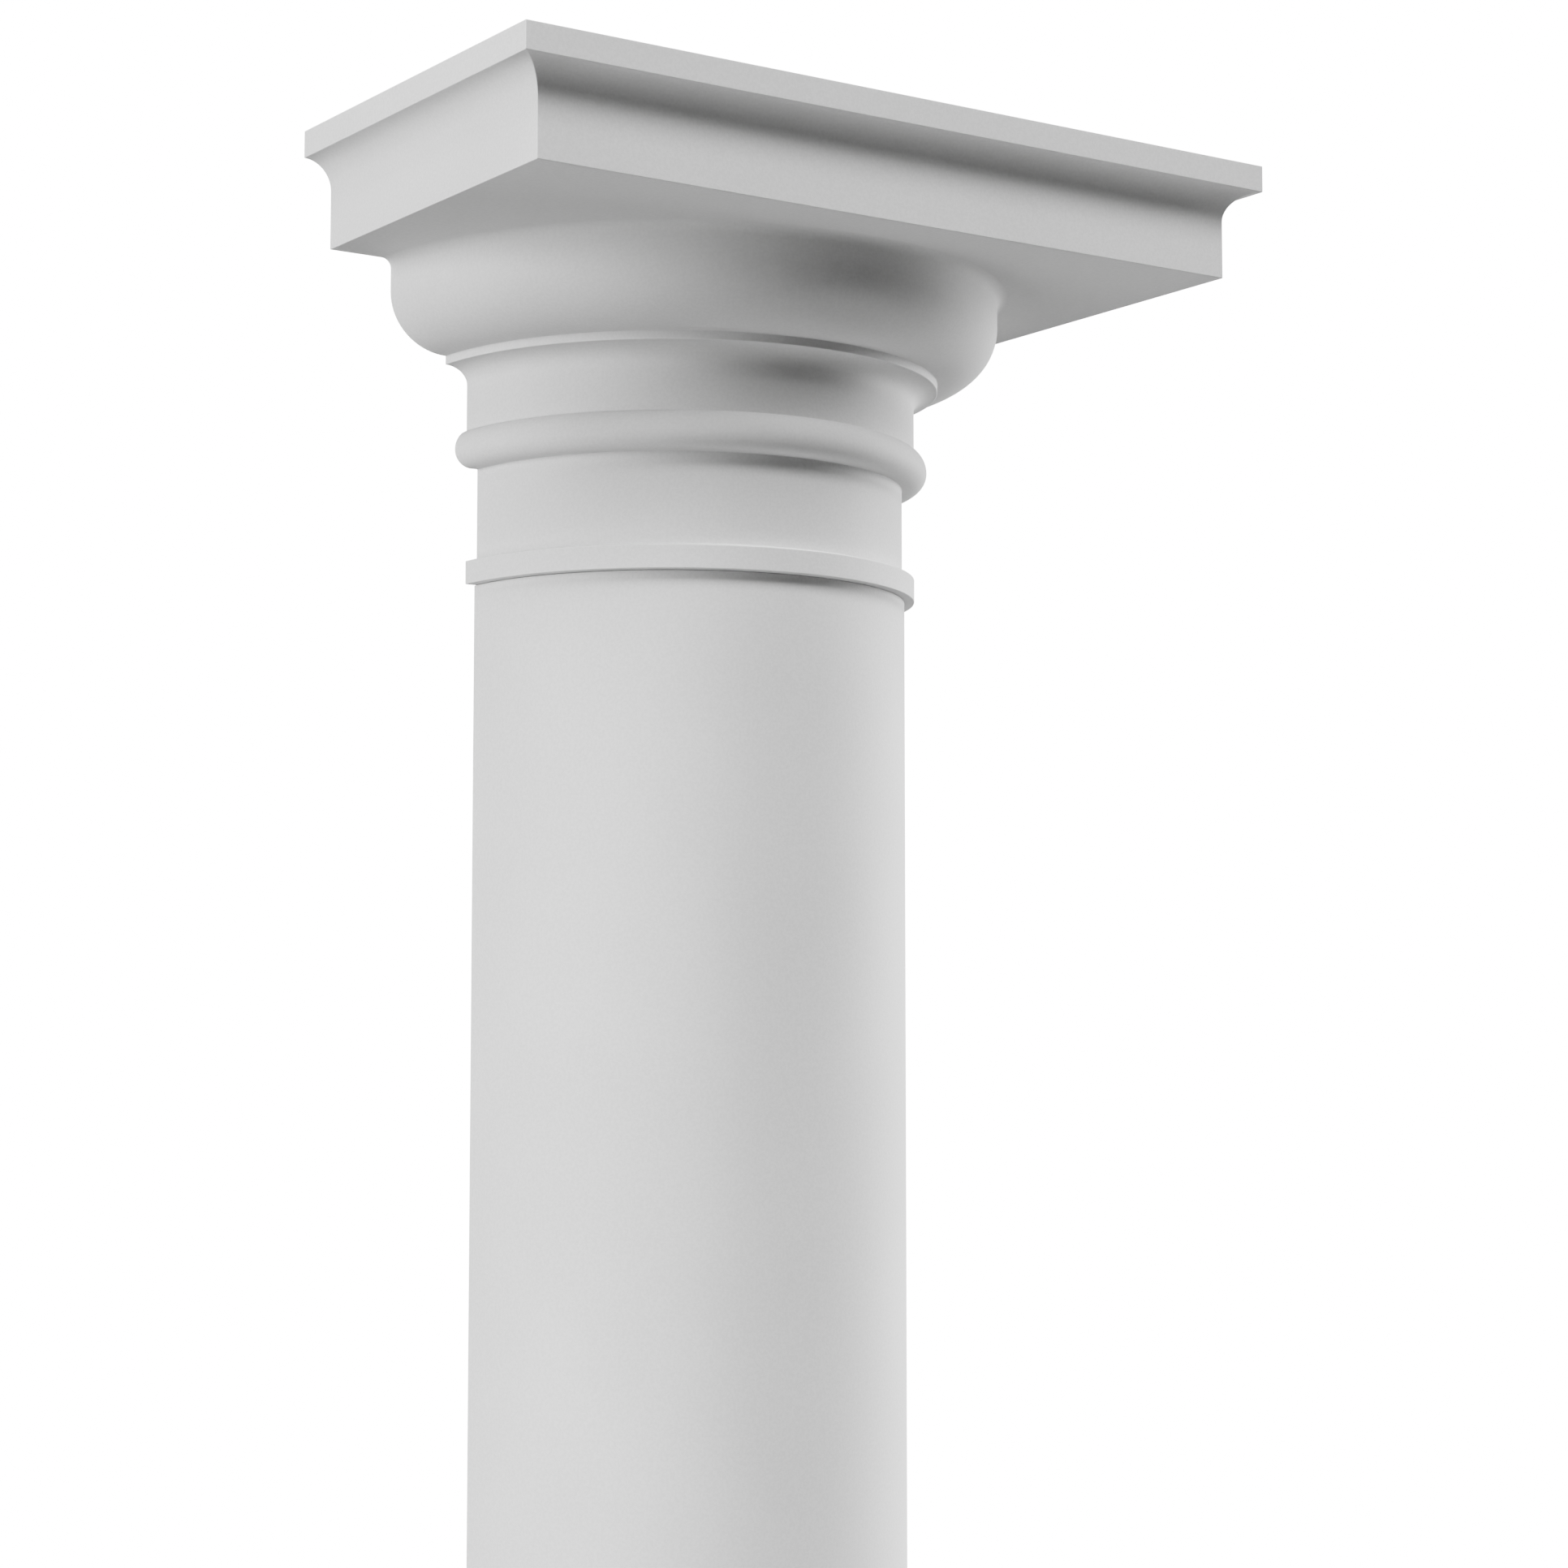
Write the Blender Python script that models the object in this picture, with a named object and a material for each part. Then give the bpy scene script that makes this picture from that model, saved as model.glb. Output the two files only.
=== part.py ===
"""An engaged half column of the Roman Doric kind, in smooth cast stone, built against a flat wall.

Metres, +Z up. The column stands on the floor at z = 0 and faces -Y. Its flat back, which goes against
the wall, is an upright plane through the column's own axis, so every block is half of a whole one.
The origin is on the floor, under the middle of the column's box. Four blocks stand on one another:
a plinth, a base, a shaft and a capital.

A block is a stack of courses. A course is the block's outline at one height, drawn as an open line
from the wall on the left, round the front, to the wall on the right. It is half round or half square.
"""

from math import acos, cos, degrees, pi, radians, sin

import bmesh
import bpy

# The whole column. BED_GAP is the dry joint between one block and the next.
COLUMN_HEIGHT = 2.400
SHAFT_DIAMETER = 0.300
BED_GAP = 0.0003

# Plinth and base, from the floor up. The apophyge sweeps in from the fillet to the shaft, the torus
# stands out past the fillet, and the plinth's faces stand out past the torus.
PLINTH_HEIGHT = 0.075
PLINTH_MARGIN = 0.0025
TORUS_HEIGHT = 0.044
TORUS_REACH = 0.040
BASE_FILLET_HEIGHT = 0.012
APOPHYGE_RADIUS = 0.019

# Round part of the capital, from its bed up. The cincture and the two necks are measured from the face
# of the shaft, and each member above them from the one it grows out of. The astragal is a half round
# whose centre lies inside the upper neck by its root.
CINCTURE_REACH = 0.0065
CINCTURE_HEIGHT = 0.0147
CINCTURE_SLOPE_HEIGHT = 0.0018
LOWER_NECK_RECESS = 0.0015
LOWER_NECK_HEIGHT = 0.0575
ASTRAGAL_REACH = 0.0083
ASTRAGAL_ROOT = 0.0032
ASTRAGAL_DROP = 0.011
ASTRAGAL_RISE = 0.0133
UPPER_NECK_REACH = 0.0065
UPPER_NECK_HEIGHT = 0.0287
CAVETTO_REACH = 0.0155
CAVETTO_HEIGHT = 0.0115
ANNULET_HEIGHT = 0.0055
ECHINUS_REACH = 0.0395
ECHINUS_HEIGHT = 0.036
ECHINUS_BAND_HEIGHT = 0.0145
COVE_RADIUS = 0.0065

# Square abacus. The soffit's width is taken at the middle of a side, from the cove to the fascia.
SOFFIT_WIDTH = 0.03575
FASCIA_HEIGHT = 0.0365
ABACUS_CAVETTO_RADIUS = 0.0185
ABACUS_FILLET_HEIGHT = 0.017

# Finish, and how finely round shapes are cut
STONE_COLOUR = (0.70, 0.70, 0.70, 1.0)
STONE_ROUGHNESS = 0.75
HALF_TURN_FACETS = 48
QUARTER_FACETS = 8
SMALL_QUARTER_FACETS = 4
SMOOTH_BELOW = radians(30)


def half_round(radius):
    """Corners of a half circle about the axis, seen from above."""
    turn = pi / HALF_TURN_FACETS
    return [(-radius * cos(i * turn), -radius * sin(i * turn)) for i in range(HALF_TURN_FACETS + 1)]


def half_square(half_width):
    """Corners of the front half of a square about the axis, seen from above."""
    w = half_width
    return [(-w, 0.0), (-w, -w), (w, -w), (w, 0.0)]


def arc(centre, reach, rise, start, end, facets=QUARTER_FACETS):
    """Points of a section's elliptic arc: centre + (reach cos a, rise sin a), a from start to end in degrees."""
    radius, z = centre
    angles = [radians(start + (end - start) * i / facets) for i in range(facets + 1)]
    return [(radius + reach * cos(a), z + rise * sin(a)) for a in angles]


def ovolo(radius, z, reach, rise):
    """A convex quarter that leaves radius flat and ends upright, reach further out and rise higher."""
    return arc((radius, z + rise), reach, rise, -90, 0)


def cavetto(radius, z, reach, rise, facets=QUARTER_FACETS):
    """A hollow quarter that leaves radius upright and ends flat, reach further out and rise higher."""
    return arc((radius + reach, z), reach, rise, 180, 90, facets)


def apophyge(radius, z, reach):
    """A hollow quarter that leaves radius flat and ends upright, reach further in and as much higher."""
    return arc((radius, z + reach), reach, reach, 270, 180)


def bead(outer, depth, z, drop, rise, upper):
    """A convex half round of a section, its widest point at z, which stops where it meets the radius upper."""
    centre = outer - depth
    meets = degrees(acos(max(upper - centre, 0.0) / depth))
    return arc((centre, z), depth, drop, -90, 0) + arc((centre, z), depth, rise, 0, meets)[1:]


def plinth_courses(half_width):
    return [(half_square, half_width, z) for z in (0.0, PLINTH_HEIGHT)]


def base_courses(shaft_radius, fillet_radius, torus_radius):
    """Torus, fillet and apophyge, from the plinth up to the shaft."""
    middle = TORUS_HEIGHT / 2
    section = bead(torus_radius, middle, middle, middle, middle, fillet_radius)
    z = TORUS_HEIGHT
    section.append((fillet_radius, z))
    z += BASE_FILLET_HEIGHT
    section += apophyge(fillet_radius, z, fillet_radius - shaft_radius)
    return [(half_round, radius, z) for radius, z in section]


def capital_courses(shaft_radius):
    """Every member of the capital, from its bed on the shaft up to the top of the abacus."""
    cincture = shaft_radius + CINCTURE_REACH
    lower_neck = shaft_radius - LOWER_NECK_RECESS
    upper_neck = shaft_radius + UPPER_NECK_REACH
    annulet = upper_neck + CAVETTO_REACH
    echinus = annulet + ECHINUS_REACH
    fascia = echinus + COVE_RADIUS + SOFFIT_WIDTH
    fillet = fascia + ABACUS_CAVETTO_RADIUS

    z = CINCTURE_HEIGHT
    section = [(cincture, 0.0), (cincture, z)]
    z += CINCTURE_SLOPE_HEIGHT
    section.append((lower_neck, z))
    z += LOWER_NECK_HEIGHT
    section.append((lower_neck, z))
    z += ASTRAGAL_DROP
    section += bead(upper_neck + ASTRAGAL_REACH, ASTRAGAL_REACH + ASTRAGAL_ROOT, z,
                    ASTRAGAL_DROP, ASTRAGAL_RISE, upper_neck)
    z += ASTRAGAL_RISE + UPPER_NECK_HEIGHT
    section += cavetto(upper_neck, z, CAVETTO_REACH, CAVETTO_HEIGHT)
    z += CAVETTO_HEIGHT + ANNULET_HEIGHT
    section += ovolo(annulet, z, ECHINUS_REACH, ECHINUS_HEIGHT)
    z += ECHINUS_HEIGHT + ECHINUS_BAND_HEIGHT
    section += cavetto(echinus, z, COVE_RADIUS, COVE_RADIUS, SMALL_QUARTER_FACETS)

    z += COVE_RADIUS
    abacus = [(fascia, z)]
    z += FASCIA_HEIGHT
    abacus += cavetto(fascia, z, ABACUS_CAVETTO_RADIUS, ABACUS_CAVETTO_RADIUS)
    z += ABACUS_CAVETTO_RADIUS + ABACUS_FILLET_HEIGHT
    abacus.append((fillet, z))
    return ([(half_round, radius, z) for radius, z in section]
            + [(half_square, half_width, z) for half_width, z in abacus])


def stone(name):
    """A smooth matt cast stone."""
    material = bpy.data.materials.new(name)
    material.use_nodes = True
    shader = material.node_tree.nodes["Principled BSDF"]
    shader.inputs["Base Color"].default_value = STONE_COLOUR
    shader.inputs["Roughness"].default_value = STONE_ROUGHNESS
    shader.inputs["Metallic"].default_value = 0.0
    return material


def block(name, courses, bed, wall):
    """Close a stack of courses, lowest first, into one solid with a flat back, and stand it at its bed.

    Courses of one kind are bridged. Where a round course meets a square one, both are at one height and
    a flat soffit joins them.
    """
    bm = bmesh.new()
    lines = []
    for outline, size, z in courses:
        verts = [bm.verts.new((x, y, z)) for x, y in outline(size)]
        edges = [bm.edges.new(pair) for pair in zip(verts, verts[1:])]
        lines.append((verts, edges))
    for (lower, lower_edges), (upper, upper_edges) in zip(lines, lines[1:]):
        if len(lower) == len(upper):
            bmesh.ops.bridge_loops(bm, edges=lower_edges + upper_edges)
        else:
            bm.faces.new(lower + upper[::-1])
    bm.faces.new(lines[0][0])
    bm.faces.new(lines[-1][0])
    left = [verts[0] for verts, _ in lines]
    right = [verts[-1] for verts, _ in lines]
    bm.faces.new(left + right[::-1])
    bmesh.ops.recalc_face_normals(bm, faces=bm.faces)

    mesh = bpy.data.meshes.new(name)
    bm.to_mesh(mesh)
    bm.free()
    mesh.shade_smooth()
    mesh.set_sharp_from_angle(angle=SMOOTH_BELOW)
    mesh.materials.append(stone(name + " stone"))
    solid = bpy.data.objects.new(name, mesh)
    solid.location = (0.0, wall, bed)
    bpy.context.collection.objects.link(solid)
    return solid


def main():
    for thing in list(bpy.data.objects):
        bpy.data.objects.remove(thing, do_unlink=True)

    shaft_radius = SHAFT_DIAMETER / 2
    fillet_radius = shaft_radius + APOPHYGE_RADIUS
    torus_radius = fillet_radius + TORUS_REACH
    plinth = plinth_courses(torus_radius + PLINTH_MARGIN)
    base = base_courses(shaft_radius, fillet_radius, torus_radius)
    capital = capital_courses(shaft_radius)

    base_height = base[-1][2]
    capital_height = capital[-1][2]
    base_bed = PLINTH_HEIGHT + BED_GAP
    shaft_bed = base_bed + base_height + BED_GAP
    capital_bed = COLUMN_HEIGHT - capital_height
    shaft = [(half_round, shaft_radius, z) for z in (0.0, capital_bed - BED_GAP - shaft_bed)]

    abacus_projection = capital[-1][1]
    wall = abacus_projection / 2
    block("plinth", plinth, 0.0, wall)
    block("base", base, base_bed, wall)
    block("shaft", shaft, shaft_bed, wall)
    block("capital", capital, capital_bed, wall)


main()
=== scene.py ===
"""Looks of the engaged half column: fine surfaces over its four blocks, cast stone, soft light, camera.

Metres, +Z up. The blocks stand where the frame puts them, with their flat backs in the plane y = WALL
and the column's axis in that plane. A block's surface is a section carried round a plan. The section is
a line of (radius, z, wear) points, from the middle of its bed up to the middle of its top. The plan is
the course's outline seen from above, from the wall on the left, round the front, to the wall on the right.
"""

import bpy
import numpy as np
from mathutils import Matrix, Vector


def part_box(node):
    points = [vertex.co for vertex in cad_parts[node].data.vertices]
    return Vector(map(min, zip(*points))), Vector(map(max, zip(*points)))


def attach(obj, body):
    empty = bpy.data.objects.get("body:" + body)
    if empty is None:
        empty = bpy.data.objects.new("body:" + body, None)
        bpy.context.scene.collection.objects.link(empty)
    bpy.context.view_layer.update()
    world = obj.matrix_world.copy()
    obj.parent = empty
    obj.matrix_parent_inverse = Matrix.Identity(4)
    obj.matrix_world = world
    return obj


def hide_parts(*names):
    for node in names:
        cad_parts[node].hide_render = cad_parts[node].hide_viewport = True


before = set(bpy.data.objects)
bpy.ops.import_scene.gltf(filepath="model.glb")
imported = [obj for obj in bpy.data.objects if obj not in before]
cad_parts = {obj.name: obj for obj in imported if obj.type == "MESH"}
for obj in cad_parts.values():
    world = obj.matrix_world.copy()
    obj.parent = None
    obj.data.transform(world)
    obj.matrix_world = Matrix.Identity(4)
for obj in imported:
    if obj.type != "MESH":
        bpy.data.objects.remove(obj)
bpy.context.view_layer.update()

# Blocks of the frame
BLOCKS = {name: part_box(name) for name in ("plinth", "base", "shaft", "capital")}
WALL = BLOCKS["shaft"][1].y
SHAFT_RADIUS = BLOCKS["shaft"][1].x
PLINTH_HALF_WIDTH = BLOCKS["plinth"][1].x

# Base mouldings, as in the solids. The base's fillet takes what they leave of its height.
TORUS_HEIGHT = 0.044
TORUS_REACH = 0.040
APOPHYGE_RADIUS = 0.019

# Capital mouldings, as in the solids. The fillet at its top takes what they leave of its height.
CINCTURE_REACH = 0.0065
CINCTURE_HEIGHT = 0.0147
CINCTURE_SLOPE_HEIGHT = 0.0018
LOWER_NECK_RECESS = 0.0015
LOWER_NECK_HEIGHT = 0.0575
ASTRAGAL_REACH = 0.0083
ASTRAGAL_ROOT = 0.0032
ASTRAGAL_DROP = 0.011
ASTRAGAL_RISE = 0.0133
UPPER_NECK_REACH = 0.0065
UPPER_NECK_HEIGHT = 0.0287
CAVETTO_REACH = 0.0155
CAVETTO_HEIGHT = 0.0115
ANNULET_HEIGHT = 0.0055
ECHINUS_REACH = 0.0395
ECHINUS_HEIGHT = 0.036
ECHINUS_BAND_HEIGHT = 0.0145
COVE_RADIUS = 0.0065
SOFFIT_WIDTH = 0.03575
FASCIA_HEIGHT = 0.0365
ABACUS_CAVETTO_RADIUS = 0.0185

# Fineness of the surfaces. An arris is an outer edge, rounded by this much, or by a share of a shorter side.
# A line that turns less than LEAST_TURN has no corner there, and a hollow counts in full from HOLLOW_DEPTH.
ARRIS = 0.0005
SHORT_SIDE_SHARE = 0.4
LEAST_TURN = np.radians(15)
ARC_STEPS = 18
SMALL_ARC_STEPS = 8
HALF_TURN_STEPS = 192
SHAFT_ROWS = 60
BED_MARGIN = 0.004
ROUND = 2.0
SHARP_ANGLE = np.radians(30)
HOLLOW_DEPTH = 0.016

# Stone: how light it is, neutral grey, and how far painted shade, dust and wear cover its tone. Painted shade
# lies in the hollows, and dust half as thick on what faces up. Both are patchy by DUST_AND_SHADE_PATCHES, and
# wear nowhere falls below LEAST_WORN.
STONE_DARK = 0.665
STONE_PALE = 0.735
DUST_AND_SHADE_TONE = 0.60
DUST_AND_SHADE_COVER = 0.12
DUST_AND_SHADE_PATCHES = 0.25
DUST_ON_TOP = 0.5
FACES_UP = 0.5
WORN_TONE = 0.80
WORN_COVER = 0.45
LEAST_WORN = 0.3

# Sizes of what shows in the stone's skin, and the shares that sand and clouds take of its range of tones
SAND_GRAIN = 0.0009
SAND_RELIEF = 0.00004
SAND_SHARE = 0.32
CLOUD_PATCH = 0.11
CLOUD_SHARE = 0.18
RUB_PATCH = 0.022

# Back, open in the mould and struck off: coarser and darker, with sweeps of the float and air holes painted
# dark inside as painted shade
BACK_DARK = 0.50
BACK_PALE = 0.62
BACK_GRAIN = 0.0024
BACK_RELIEF = 0.0005
FLOAT_SWEEP = 0.16
SWEEP_SHARE = 0.30
SWEEP_RELIEF = 0.0006
HOLE_SPACING = 0.014
HOLE_RADIUS = 0.0012
HOLE_CHANCE = 0.7
# The air holes are painted darker, as painted shade inside them.
HOLE_SHADE_TONE = 0.42
HOLE_SHADE_COVER = 0.8
HOLE_DEPTH = 0.0008

# Roughness of each surface, and how much sand, clouds, wear and dust change it
STONE_ROUGHNESS = 0.80
BACK_ROUGHNESS = 0.90
FLOOR_ROUGHNESS = 0.85
SAND_ROUGHENS = 0.04
CLOUDS_ROUGHEN = 0.05
WEAR_SMOOTHS = 0.10
DUST_ROUGHENS = 0.08

# Camera. It looks along its heading, pitched up, from a distance before the column's axis and a step to the
# right of the line to it.
CAMERA_HEADING = np.radians(34.275)
CAMERA_PITCH = np.radians(5.194)
CAMERA_DISTANCE = 2.2683
CAMERA_SIDE_STEP = 0.0713
EYE_HEIGHT = 1.8025
LENS_MM = 80.25
SENSOR_MM = 36.0

# Floor. The camera sees it fade to the white of the backdrop from one radius to the other.
FLOOR_RADIUS = 1.25
FLOOR_SIDES = 128
FLOOR_FADE = (0.5, 1.2)
FLOOR_DARK = 0.64
FLOOR_PALE = 0.70
FLOOR_GRAIN = 0.003
FLOOR_PATCH = 0.6
FLOOR_MOTTLE = 0.2

# Distant soft lights. Each has a bearing from the column's front, towards +X, a height angle and a width,
# all in degrees, and its strength in watts a square metre. The low ones stand beyond the floor, aimed up.
SOFT_LIGHTS = {
    "key": (0, 50, 30, 4.7),
    "high_left": (-45, 45, 15, 1.0),
    "left": (-100, 5, 30, 4.2),
    "low_left": (-90, -30, 30, 1.3),
    "right": (100, 0, 20, 3.6),
    "right_front": (75, 15, 15, 1.6),
    "low_right": (90, -15, 15, 1.0),
    "behind": (180, 5, 40, 2.5),
}
LIGHT_DISTANCE = 3.0

# Film. Light is shown as L / (1 + SHOULDER L), so that PAPER_WHITE and all above it show white. The curve
# has a point at each of FILM_POINTS, as shares of paper white.
SHOULDER = 0.8
PAPER_WHITE = 1 / (1 - SHOULDER)
FILM_POINTS = np.geomspace(0.01, 0.8, 12)
ROOM_LIGHT = 0.01


def arc(centre, reach, rise, start, end, steps=ARC_STEPS):
    """An elliptic arc of a section: centre + (reach cos a, rise sin a), a from start to end in degrees."""
    a = np.radians(np.linspace(start, end, steps + 1))
    return np.column_stack((centre[0] + reach * np.cos(a), centre[1] + rise * np.sin(a)))


def bead(outer, depth, z, drop, rise, upper):
    """Half an ellipse with its widest point at (outer, z), ended where it meets the radius upper."""
    centre = outer - depth
    meets = np.degrees(np.arccos(max(upper - centre, 0.0) / depth))
    return np.vstack((arc((centre, z), depth, drop, -90, 0), arc((centre, z), depth, rise, 0, meets)[1:]))


def soften(section):
    """Round every corner of a section, and mark the outer ones as worn.

    A corner P whose sides point to A and B becomes the curve (1-t)^2 In + 2t(1-t) P + t^2 Out, where In
    and Out lie an arris from P towards A and B, or a share of a shorter side. Two more points further along
    the sides keep the flats flat. A point where the line hardly turns stays as it is.
    Wear is 1 on the curve of a corner that turns to the left, which is an outer one, and 0 elsewhere.
    """
    side = np.diff(section, axis=0)
    length = np.linalg.norm(side, axis=1, keepdims=True)
    side = side / length
    p = section[1:-1, None]
    reach = np.minimum(ARRIS, SHORT_SIDE_SHARE * length)[:, None]
    back = -side[:-1, None] * reach[:-1]
    ahead = side[1:, None] * reach[1:]
    corner = (side[:-1] * side[1:]).sum(1) < np.cos(LEAST_TURN)
    outer = side[:-1, 0] * side[1:, 1] > side[:-1, 1] * side[1:, 0]
    t = np.linspace(0, 1, 5)[None, :, None]
    curve = p + (1 - t) ** 2 * back + t ** 2 * ahead
    rows = np.concatenate((p + 2 * back, curve, p + 2 * ahead), axis=1)
    rows = np.where(corner[:, None, None], rows, np.repeat(p, rows.shape[1], axis=1))
    wear = np.zeros(rows.shape[:2] + (1,))
    wear[corner & outer, 1:-1] = 1
    keep = np.zeros(rows.shape[:2], bool)
    keep[:, 3] = True
    keep[corner] = True
    ends = np.column_stack((section[[0, -1]], (0, 0)))
    return np.vstack((ends[:1], np.concatenate((rows, wear), axis=2)[keep], ends[1:]))


def plan(turns, fullness):
    """A course's outline of size one: the direction (sin t, -cos t) over (|sin t|^f + |cos t|^f)^(1/f).

    A fullness f of 2 gives half a circle. The larger it is, the nearer the outline is to half a square.
    """
    across, out = np.sin(turns), np.cos(turns)
    out[[0, -1]] = 0.0
    norm = (np.abs(across) ** fullness + np.abs(out) ** fullness) ** (1 / fullness)
    return np.column_stack((across, -out)) / norm[:, None]


def square_fullness(half_width):
    """The fullness that rounds a square's corner by an arris: its point falls short by 0.41 of that."""
    return np.log(2) * np.sqrt(2) * half_width / ((np.sqrt(2) - 1) * ARRIS)


def off_corner(turns, fullness):
    """How far a direction is from a square's nearest corner, in roundings: 2 f (|t| - 45 degrees)."""
    return 2 * fullness * (np.abs(turns) - np.pi / 4)


def half_turn(fullness=ROUND):
    """Angles from the wall on the left to the wall on the right, closer together at a square's corners."""
    turns = np.linspace(-np.pi / 2, np.pi / 2, HALF_TURN_STEPS + 1)
    if fullness > ROUND:
        spread = np.array((-6, -3, -1.5, -0.7, 0.7, 1.5, 3, 6)) / (2 * fullness)
        turns = np.concatenate((turns, -np.pi / 4 + spread, np.pi / 4 + spread))
    return np.sort(turns)


def courses(section, turns, fullness):
    """The grid section radius x plan, lifted to the section's height and stood against the wall."""
    xy = section[:, None, :1] * plan(turns, fullness)[None]
    z = np.broadcast_to(section[:, None, 1:2], xy.shape[:2] + (1,))
    return np.concatenate((xy[..., :1], WALL + xy[..., 1:], z), axis=2)


def wear(section, turns, fullness):
    """Wear at each point of the grid: the section's own, and 1 at the upright corners of a square."""
    upright = (np.abs(off_corner(turns, fullness)) < 2) & (fullness > ROUND)
    return np.maximum(section[:, 2:], upright[None])


def hollowness(section):
    """How deep each row lies behind the rows near it: the most of r_j - |z_j - z_i| - r_i, over a depth."""
    radius, z = section[:, 0], section[:, 1]
    depth = (radius[None] - np.abs(z[None] - z[:, None])).max(1) - radius
    return np.clip(depth / HOLLOW_DEPTH, 0, 1)


def block(name, turns, *parts):
    """One closed piece from sections and their fullness, lowest first, all carried round the same turns.

    Quads join the grid's points. Its bed, its top and its back are one flat face each.
    """
    grid = np.concatenate([courses(section, turns, fullness) for section, fullness in parts])
    worn = np.concatenate([wear(section, turns, fullness) for section, fullness in parts])
    hollow = hollowness(np.vstack([section for section, _ in parts]))
    rows, columns = worn.shape
    index = np.arange(rows * columns).reshape(rows, columns)
    quads = np.stack((index[:-1, :-1], index[:-1, 1:], index[1:, 1:], index[1:, :-1]), axis=-1)
    back = np.concatenate((index[:, 0], index[::-1, -1]))
    faces = quads.reshape(-1, 4).tolist() + [index[0, ::-1].tolist(), index[-1].tolist(), back.tolist()]

    mesh = bpy.data.meshes.new(name + "_stone")
    mesh.from_pydata(grid.reshape(-1, 3).tolist(), [], faces)
    mesh.shade_smooth()
    mesh.set_sharp_from_angle(angle=SHARP_ANGLE)
    for label, values in (("hollow", np.repeat(hollow, columns)), ("wear", worn.ravel())):
        attribute = mesh.attributes.new(label, "FLOAT", "POINT")
        attribute.data.foreach_set("value", values.astype(np.float32))
    mesh.materials.append(bpy.data.materials["cast_stone"])
    mesh.materials.append(bpy.data.materials["floated_back"])
    mesh.polygons[len(faces) - 1].material_index = 1
    piece = bpy.data.objects.new(name + "_stone", mesh)
    bpy.context.collection.objects.link(piece)
    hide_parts(name)
    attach(piece, "root")


def plinth():
    """A square slab: bed, upright face and top."""
    low, high = BLOCKS["plinth"]
    w = PLINTH_HALF_WIDTH
    inner = w - BED_MARGIN
    section = soften(np.array([(inner, low.z), (w, low.z), (w, high.z), (inner, high.z)]))
    fullness = square_fullness(w)
    block("plinth", half_turn(fullness), (section, fullness))


def base():
    """Torus, fillet and apophyge."""
    bed, top = BLOCKS["base"][0].z, BLOCKS["base"][1].z
    fillet = SHAFT_RADIUS + APOPHYGE_RADIUS
    torus = fillet + TORUS_REACH
    middle = TORUS_HEIGHT / 2
    section = soften(np.vstack((
        [(torus - middle - BED_MARGIN, bed)],
        bead(torus, middle, bed + middle, middle, middle, fillet),
        [(fillet, bed + TORUS_HEIGHT)],
        arc((fillet, top), APOPHYGE_RADIUS, APOPHYGE_RADIUS, 270, 180),
        [(SHAFT_RADIUS - BED_MARGIN, top)],
    )))
    block("base", half_turn(), (section, ROUND))


def shaft():
    """A plain half cylinder."""
    bed, top = BLOCKS["shaft"][0].z, BLOCKS["shaft"][1].z
    inner = SHAFT_RADIUS - BED_MARGIN
    z = np.linspace(bed, top, SHAFT_ROWS)
    face = np.column_stack((np.full(SHAFT_ROWS, SHAFT_RADIUS), z))
    section = soften(np.vstack(([(inner, bed)], face, [(inner, top)])))
    block("shaft", half_turn(), (section, ROUND))


def capital():
    """Every member of the capital: the round ones up to the soffit, and the square abacus above it."""
    bed, top = BLOCKS["capital"][0].z, BLOCKS["capital"][1].z
    cincture = SHAFT_RADIUS + CINCTURE_REACH
    lower_neck = SHAFT_RADIUS - LOWER_NECK_RECESS
    upper_neck = SHAFT_RADIUS + UPPER_NECK_REACH
    annulet = upper_neck + CAVETTO_REACH
    echinus = annulet + ECHINUS_REACH
    soffit_edge = echinus + COVE_RADIUS
    fascia = soffit_edge + SOFFIT_WIDTH
    fillet = fascia + ABACUS_CAVETTO_RADIUS

    neck_foot = bed + CINCTURE_HEIGHT + CINCTURE_SLOPE_HEIGHT
    astragal = neck_foot + LOWER_NECK_HEIGHT + ASTRAGAL_DROP
    cavetto_foot = astragal + ASTRAGAL_RISE + UPPER_NECK_HEIGHT
    echinus_foot = cavetto_foot + CAVETTO_HEIGHT + ANNULET_HEIGHT
    cove_foot = echinus_foot + ECHINUS_HEIGHT + ECHINUS_BAND_HEIGHT
    soffit = cove_foot + COVE_RADIUS
    hollow_foot = soffit + FASCIA_HEIGHT

    turned = soften(np.vstack((
        [(cincture - BED_MARGIN, bed), (cincture, bed), (cincture, bed + CINCTURE_HEIGHT)],
        [(lower_neck, neck_foot), (lower_neck, astragal - ASTRAGAL_DROP)],
        bead(upper_neck + ASTRAGAL_REACH, ASTRAGAL_REACH + ASTRAGAL_ROOT, astragal,
             ASTRAGAL_DROP, ASTRAGAL_RISE, upper_neck),
        arc((annulet, cavetto_foot), CAVETTO_REACH, CAVETTO_HEIGHT, 180, 90),
        arc((annulet, echinus_foot + ECHINUS_HEIGHT), ECHINUS_REACH, ECHINUS_HEIGHT, -90, 0),
        arc((soffit_edge, cove_foot), COVE_RADIUS, COVE_RADIUS, 180, 90, SMALL_ARC_STEPS),
        [(soffit_edge + ARRIS, soffit)],
    )))
    squared = soften(np.vstack((
        [(fascia - BED_MARGIN, soffit), (fascia, soffit)],
        arc((fillet, hollow_foot), ABACUS_CAVETTO_RADIUS, ABACUS_CAVETTO_RADIUS, 180, 90),
        [(fillet, top), (fillet - BED_MARGIN, top)],
    )))
    fullness = square_fullness(fascia)
    block("capital", half_turn(fullness), (turned, ROUND), (squared, fullness))


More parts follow.
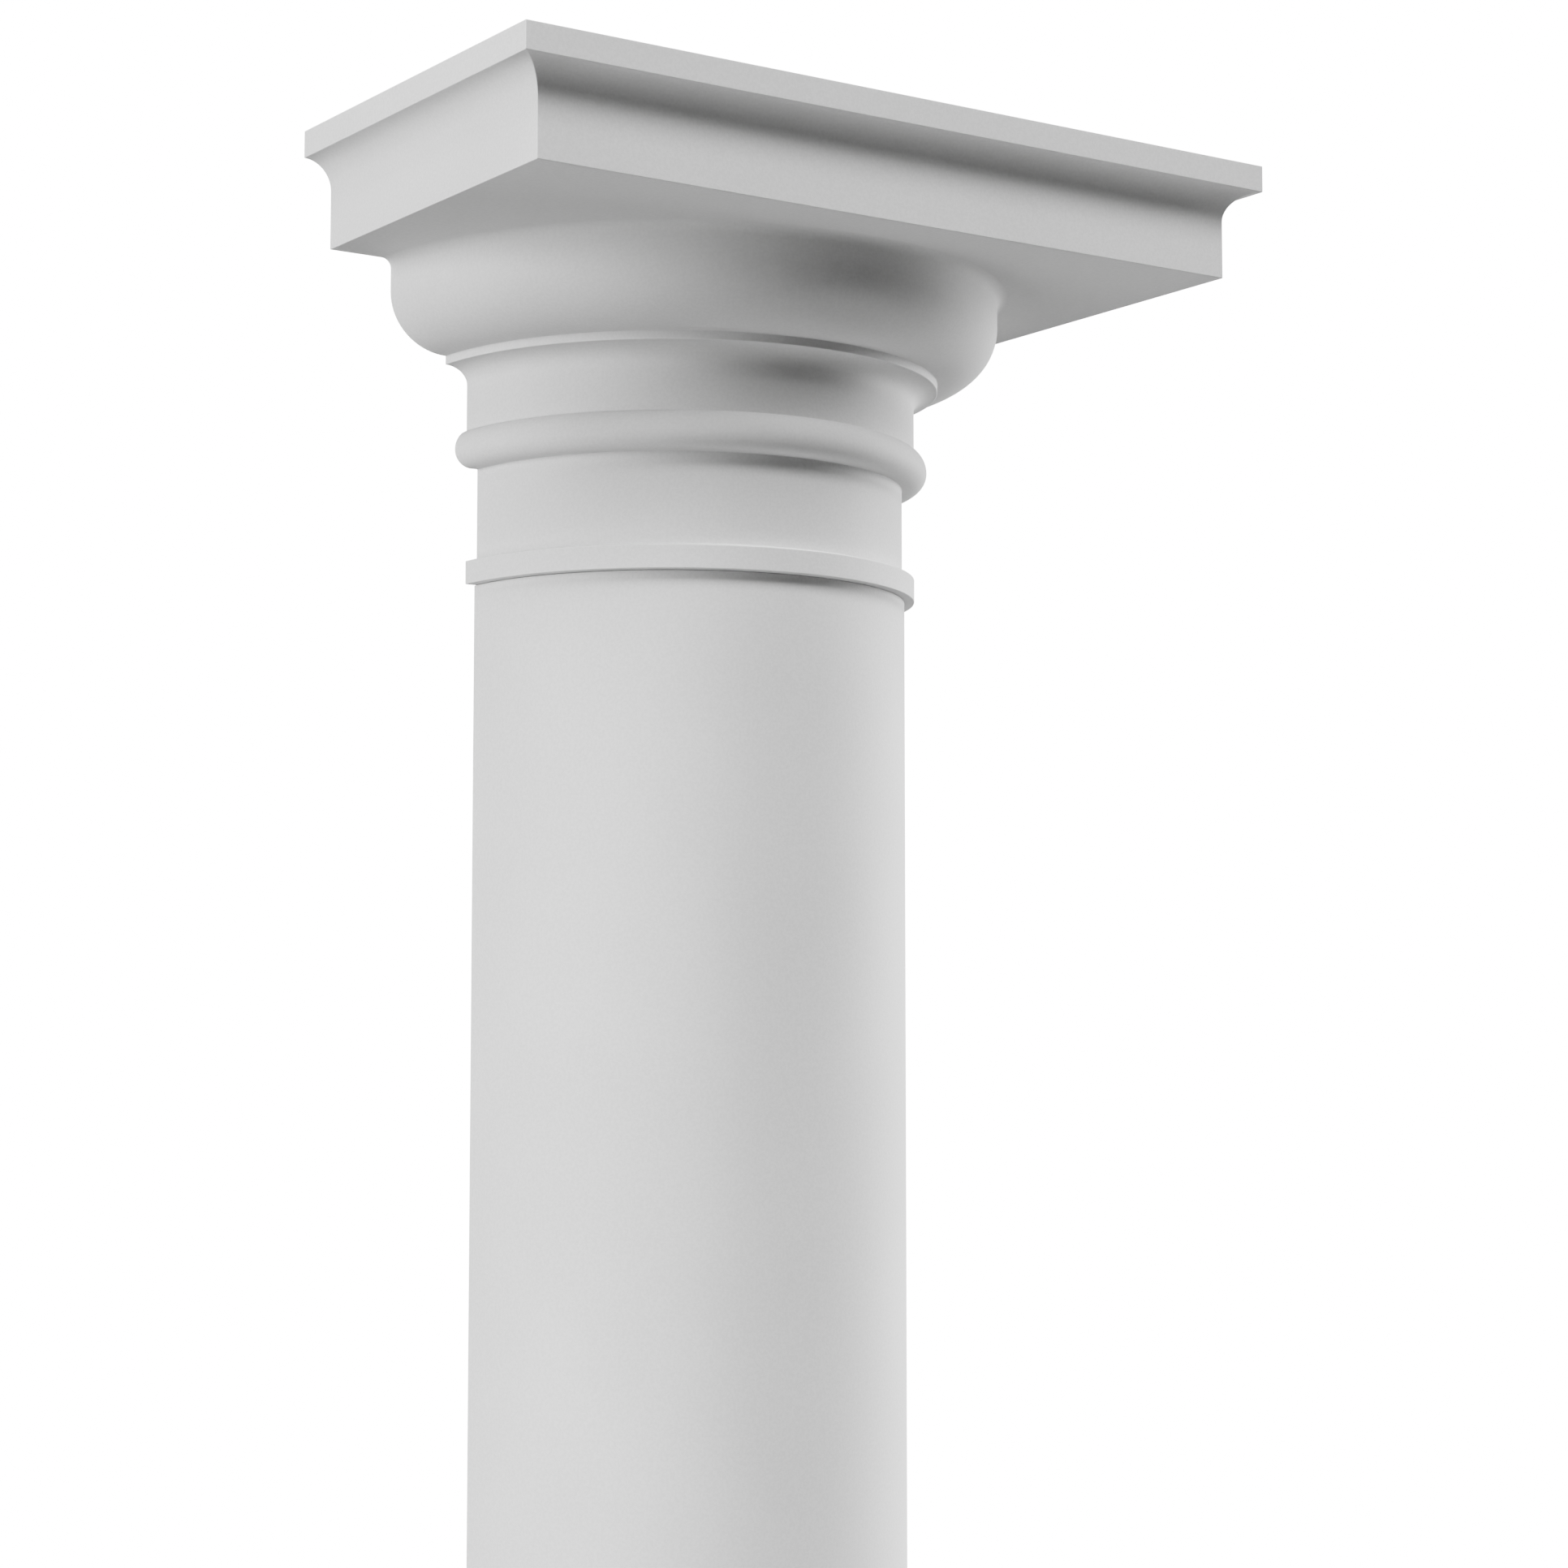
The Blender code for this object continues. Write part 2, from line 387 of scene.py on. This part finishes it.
def node(tree, kind, inputs=None, **settings):
    """A shader node. Each of its inputs is given a value, or linked to another node's output."""
    made = tree.nodes.new("ShaderNode" + kind)
    for name, value in settings.items():
        setattr(made, name, value)
    for name, value in (inputs or {}).items():
        if isinstance(value, bpy.types.NodeSocket):
            tree.links.new(value, made.inputs[name])
        else:
            made.inputs[name].default_value = value
    return made


def maths(tree, operation, *values):
    """The result of a sum on values or outputs."""
    return node(tree, "Math", dict(enumerate(values)), operation=operation).outputs[0]


def ramp(tree, value, low, high, start=0.0, end=1.0):
    """A value from low to high turned smoothly into one from start to end."""
    inputs = {"Value": value, "From Min": low, "From Max": high, "To Min": start, "To Max": end}
    return node(tree, "MapRange", inputs, interpolation_type="SMOOTHSTEP").outputs["Result"]


def noise(tree, position, scale, detail=2.0, roughness=0.5):
    """Noise about as coarse as one over its scale, from 0 to 1."""
    inputs = {"Vector": position, "Scale": scale, "Detail": detail, "Roughness": roughness}
    return node(tree, "TexNoise", inputs).outputs["Fac"]


def effect(name, size, outputs):
    """An empty node group, given a position and a size in metres: its tree, its inputs and its outputs."""
    tree = bpy.data.node_groups.new(name, "ShaderNodeTree")
    tree.interface.new_socket("Position", in_out="INPUT", socket_type="NodeSocketVector")
    tree.interface.new_socket("Size", in_out="INPUT", socket_type="NodeSocketFloat").default_value = size
    for label in outputs:
        tree.interface.new_socket(label, in_out="OUTPUT", socket_type="NodeSocketFloat")
    return tree, tree.nodes.new("NodeGroupInput").outputs, tree.nodes.new("NodeGroupOutput").inputs


def either_way(tree, value):
    """Noise, whose values keep to the middle of 0 to 1, spread to run from -1 to 1."""
    return ramp(tree, value, 0.3, 0.7, -1.0, 1.0)


def sand_grain():
    """Grains of sand in a cast skin: noise of twice their size with noise of their own size in it."""
    tree, given, put = effect("sand_grain", SAND_GRAIN, ("Tone", "Height"))
    scale = maths(tree, "DIVIDE", 0.5, given["Size"])
    grains = noise(tree, given["Position"], scale, detail=1.0, roughness=0.7)
    tree.links.new(either_way(tree, grains), put["Tone"])
    tree.links.new(grains, put["Height"])


def clouding():
    """Soft patches where the skin is lighter or darker, drier or more rubbed."""
    tree, given, put = effect("clouding", CLOUD_PATCH, ("Tone",))
    scale = maths(tree, "DIVIDE", 1.0, given["Size"])
    patches = noise(tree, given["Position"], scale, detail=1.0, roughness=0.6)
    tree.links.new(either_way(tree, patches), put["Tone"])


def pin_holes(tree, position):
    """Small round air holes, one in some cells of a scatter: the nearer its middle, the deeper.

    The smallest are 0.4 of the largest, and each reaches its full depth 0.7 of the way in.
    """
    cells = node(tree, "TexVoronoi", {"Vector": position, "Scale": 1 / HOLE_SPACING}, feature="F1")
    luck = node(tree, "SeparateColor", {"Color": cells.outputs["Color"]})
    chosen = maths(tree, "LESS_THAN", luck.outputs["Red"], HOLE_CHANCE)
    largest = HOLE_RADIUS / HOLE_SPACING
    size = ramp(tree, luck.outputs["Green"], 0.0, 1.0, 0.4 * largest, largest)
    near = maths(tree, "SUBTRACT", 1.0, maths(tree, "DIVIDE", cells.outputs["Distance"], size))
    return maths(tree, "MULTIPLY", ramp(tree, near, 0.0, 0.7), chosen)


def float_sweeps(tree, position):
    """Shallow arcs left by a wooden float, from 0 to 1: two sets of bent rings, each faded out in patches."""
    heights = []
    for shift, share in ((0.0, 0.6), (3.7, 0.4)):
        moved = node(tree, "VectorMath", {0: position, 1: (shift, shift, -shift)}, operation="ADD")
        where = moved.outputs[0]
        rings = node(tree, "TexWave", {"Vector": where, "Scale": 1 / FLOAT_SWEEP, "Distortion": 7.0,
                                       "Detail": 2.0, "Detail Scale": 0.8},
                     wave_type="RINGS", rings_direction="SPHERICAL")
        shown = ramp(tree, noise(tree, where, 1 / FLOAT_SWEEP), 0.35, 0.65)
        heights.append(maths(tree, "MULTIPLY", maths(tree, "MULTIPLY", rings.outputs["Fac"], shown), share))
    return maths(tree, "ADD", *heights)


def apply_effect(tree, name, position, size):
    """An effect's outputs, placed in a material at a size of its own."""
    inputs = {"Position": position, "Size": size}
    return node(tree, "Group", inputs, node_tree=bpy.data.node_groups[name]).outputs


def grey(tone):
    """A neutral colour."""
    return (tone, tone, tone, 1.0)


def blend(tree, factor, first, second):
    """The colour between two colours that a factor gives."""
    return node(tree, "Mix", {0: factor, 6: first, 7: second}, data_type="RGBA").outputs[2]


def over(tree, colour, mask, tone, cover):
    """A colour with a grey laid over it where a mask says, at most by a cover."""
    return blend(tree, maths(tree, "MULTIPLY", mask, cover), colour, grey(tone))


def new_material(name):
    """A material's tree, its shader and the position on the piece that its patterns follow."""
    material = bpy.data.materials.new(name)
    material.use_nodes = True
    tree = material.node_tree
    return tree, tree.nodes["Principled BSDF"], node(tree, "TexCoord").outputs["Object"]


def attribute(tree, name):
    """A value that the piece's own points hold, such as its wear."""
    return node(tree, "Attribute", attribute_name=name).outputs["Fac"]


def cast_stone():
    """Smooth cast stone: fine sand, faint clouds, painted shade in the hollows, dust on top, arrises rubbed
    pale.
    """
    tree, shader, position = new_material("cast_stone")
    sand = apply_effect(tree, "sand_grain", position, SAND_GRAIN)
    cloud = apply_effect(tree, "clouding", position, CLOUD_PATCH)
    rub = apply_effect(tree, "clouding", position, RUB_PATCH)

    up = node(tree, "SeparateXYZ", {"Vector": node(tree, "NewGeometry").outputs["True Normal"]})
    on_top = ramp(tree, up.outputs["Z"], FACES_UP, 1.0, 0.0, DUST_ON_TOP)
    # The hollows get painted shade, darker as they lie deeper; dust lies only on what faces up.
    hollow_or_top = maths(tree, "MAXIMUM", attribute(tree, "hollow"), on_top)
    patchy = maths(tree, "MULTIPLY_ADD", rub["Tone"], DUST_AND_SHADE_PATCHES, 1.0 - DUST_AND_SHADE_PATCHES)
    dust_and_shade = maths(tree, "MULTIPLY", hollow_or_top, patchy)
    rubbed = ramp(tree, rub["Tone"], -0.5, 0.5, LEAST_WORN, 1.0)
    worn = maths(tree, "MULTIPLY", attribute(tree, "wear"), rubbed)

    share = maths(tree, "MULTIPLY_ADD", cloud["Tone"], CLOUD_SHARE, 0.5)
    share = maths(tree, "MULTIPLY_ADD", sand["Tone"], SAND_SHARE, share)
    colour = blend(tree, share, grey(STONE_DARK), grey(STONE_PALE))
    # Painted shade in the hollows and dust on top darken the stone here.
    colour = over(tree, colour, dust_and_shade, DUST_AND_SHADE_TONE, DUST_AND_SHADE_COVER)
    colour = over(tree, colour, worn, WORN_TONE, WORN_COVER)
    tree.links.new(colour, shader.inputs["Base Color"])

    matt = maths(tree, "MULTIPLY_ADD", sand["Tone"], SAND_ROUGHENS, STONE_ROUGHNESS)
    matt = maths(tree, "MULTIPLY_ADD", worn, -WEAR_SMOOTHS, matt)
    matt = maths(tree, "MULTIPLY_ADD", dust_and_shade, DUST_ROUGHENS, matt)
    tree.links.new(matt, shader.inputs["Roughness"])

    bump = node(tree, "Bump", {"Height": sand["Height"], "Strength": 1.0, "Distance": SAND_RELIEF})
    tree.links.new(bump.outputs["Normal"], shader.inputs["Normal"])


def floated_back():
    """The back that goes against the wall, open in the mould and struck off with a wooden float; its air
    holes carry painted shade.
    """
    tree, shader, position = new_material("floated_back")
    sand = apply_effect(tree, "sand_grain", position, BACK_GRAIN)
    cloud = apply_effect(tree, "clouding", position, CLOUD_PATCH)
    sweeps = float_sweeps(tree, position)
    holes = pin_holes(tree, position)

    share = maths(tree, "MULTIPLY_ADD", sand["Tone"], SAND_SHARE, 0.5 - SWEEP_SHARE / 2)
    share = maths(tree, "MULTIPLY_ADD", cloud["Tone"], CLOUD_SHARE, share)
    share = maths(tree, "MULTIPLY_ADD", sweeps, SWEEP_SHARE, share)
    colour = blend(tree, share, grey(BACK_DARK), grey(BACK_PALE))
    # The air holes are painted darker here, as painted shade inside them.
    colour = over(tree, colour, holes, HOLE_SHADE_TONE, HOLE_SHADE_COVER)
    tree.links.new(colour, shader.inputs["Base Color"])
    matt = maths(tree, "MULTIPLY_ADD", sand["Tone"], SAND_ROUGHENS, BACK_ROUGHNESS)
    tree.links.new(matt, shader.inputs["Roughness"])

    height = maths(tree, "MULTIPLY", sand["Height"], BACK_RELIEF)
    height = maths(tree, "MULTIPLY_ADD", sweeps, SWEEP_RELIEF, height)
    height = maths(tree, "MULTIPLY_ADD", holes, -HOLE_DEPTH, height)
    bump = node(tree, "Bump", {"Height": height, "Distance": 1.0})
    tree.links.new(bump.outputs["Normal"], shader.inputs["Normal"])


def pale_floor():
    """Plain pale screed. Seen by the camera, it fades into the white backdrop away from the column."""
    tree, shader, position = new_material("pale_floor")
    sand = apply_effect(tree, "sand_grain", position, FLOOR_GRAIN)
    cloud = apply_effect(tree, "clouding", position, FLOOR_PATCH)
    share = maths(tree, "MULTIPLY_ADD", sand["Tone"], FLOOR_MOTTLE, 0.5)
    share = maths(tree, "MULTIPLY_ADD", cloud["Tone"], FLOOR_MOTTLE, share)
    tree.links.new(blend(tree, share, grey(FLOOR_DARK), grey(FLOOR_PALE)), shader.inputs["Base Color"])
    matt = maths(tree, "MULTIPLY_ADD", cloud["Tone"], CLOUDS_ROUGHEN, FLOOR_ROUGHNESS)
    tree.links.new(matt, shader.inputs["Roughness"])

    away = node(tree, "VectorMath", {0: position}, operation="LENGTH").outputs["Value"]
    fade = maths(tree, "MULTIPLY", ramp(tree, away, *FLOOR_FADE),
                 node(tree, "LightPath").outputs["Is Camera Ray"])
    white = node(tree, "Emission", {"Color": (1, 1, 1, 1), "Strength": PAPER_WHITE})
    mix = node(tree, "MixShader", {0: fade, 1: shader.outputs[0], 2: white.outputs[0]})
    tree.links.new(mix.outputs[0], tree.nodes["Material Output"].inputs["Surface"])


def floor():
    """A plain disc under the column, made of a ring of points joined into one face."""
    turns = np.linspace(0, 2 * np.pi, FLOOR_SIDES, endpoint=False)
    ring = np.column_stack((np.cos(turns), np.sin(turns), np.zeros(FLOOR_SIDES))) * FLOOR_RADIUS
    mesh = bpy.data.meshes.new("floor")
    mesh.from_pydata(ring.tolist(), [], [list(range(FLOOR_SIDES))])
    mesh.materials.append(bpy.data.materials["pale_floor"])
    piece = bpy.data.objects.new("floor", mesh)
    bpy.context.collection.objects.link(piece)


def camera():
    """The photograph's view: to the left of the column's front, at eye height, looking slightly up."""
    heading = np.array((np.sin(CAMERA_HEADING), np.cos(CAMERA_HEADING)))
    right = np.array((heading[1], -heading[0]))
    x, y = np.array((0.0, WALL)) - CAMERA_DISTANCE * heading + CAMERA_SIDE_STEP * right
    data = bpy.data.cameras.new("camera")
    data.lens = LENS_MM
    data.sensor_width = SENSOR_MM
    piece = bpy.data.objects.new("camera", data)
    piece.location = (x, y, EYE_HEIGHT)
    look = Vector((*(heading * np.cos(CAMERA_PITCH)), np.sin(CAMERA_PITCH)))
    piece.rotation_euler = look.to_track_quat("-Z", "Y").to_euler()
    bpy.context.collection.objects.link(piece)
    bpy.context.scene.camera = piece


def soft_lights():
    """Lights far enough away to be the same all over the column, each as soft as it is wide."""
    for name, (bearing, rise, width, strength) in SOFT_LIGHTS.items():
        a, e = np.radians((bearing, rise))
        towards = Vector((np.sin(a) * np.cos(e), -np.cos(a) * np.cos(e), np.sin(e)))
        data = bpy.data.lights.new(name, "SUN")
        data.angle = np.radians(width)
        data.energy = strength
        piece = bpy.data.objects.new(name, data)
        piece.location = LIGHT_DISTANCE * towards
        piece.rotation_euler = towards.to_track_quat("Z", "Y").to_euler()
        bpy.context.collection.objects.link(piece)


def backdrop():
    """White where the camera sees it, and the faint light of a room elsewhere."""
    world = bpy.data.worlds.new("backdrop")
    world.use_nodes = True
    tree = world.node_tree
    seen = node(tree, "LightPath").outputs["Is Camera Ray"]
    background = tree.nodes["Background"]
    background.inputs["Color"].default_value = (1, 1, 1, 1)
    tree.links.new(ramp(tree, seen, 0.0, 1.0, ROOM_LIGHT, PAPER_WHITE), background.inputs["Strength"])
    bpy.context.scene.world = world


def film():
    """How light becomes tone: the curve x / (1 + SHOULDER x) from no light up to paper white."""
    view = bpy.context.scene.view_settings
    view.view_transform = "Standard"
    view.use_curve_mapping = True
    mapping = view.curve_mapping
    mapping.white_level = (PAPER_WHITE, PAPER_WHITE, PAPER_WHITE)
    points = mapping.curves[3].points
    for share in FILM_POINTS:
        light = share * PAPER_WHITE
        points.new(share, light / (1 + SHOULDER * light))
    mapping.update()


sand_grain()
clouding()
cast_stone()
floated_back()
pale_floor()
plinth()
base()
shaft()
capital()
floor()
camera()
soft_lights()
backdrop()
film()
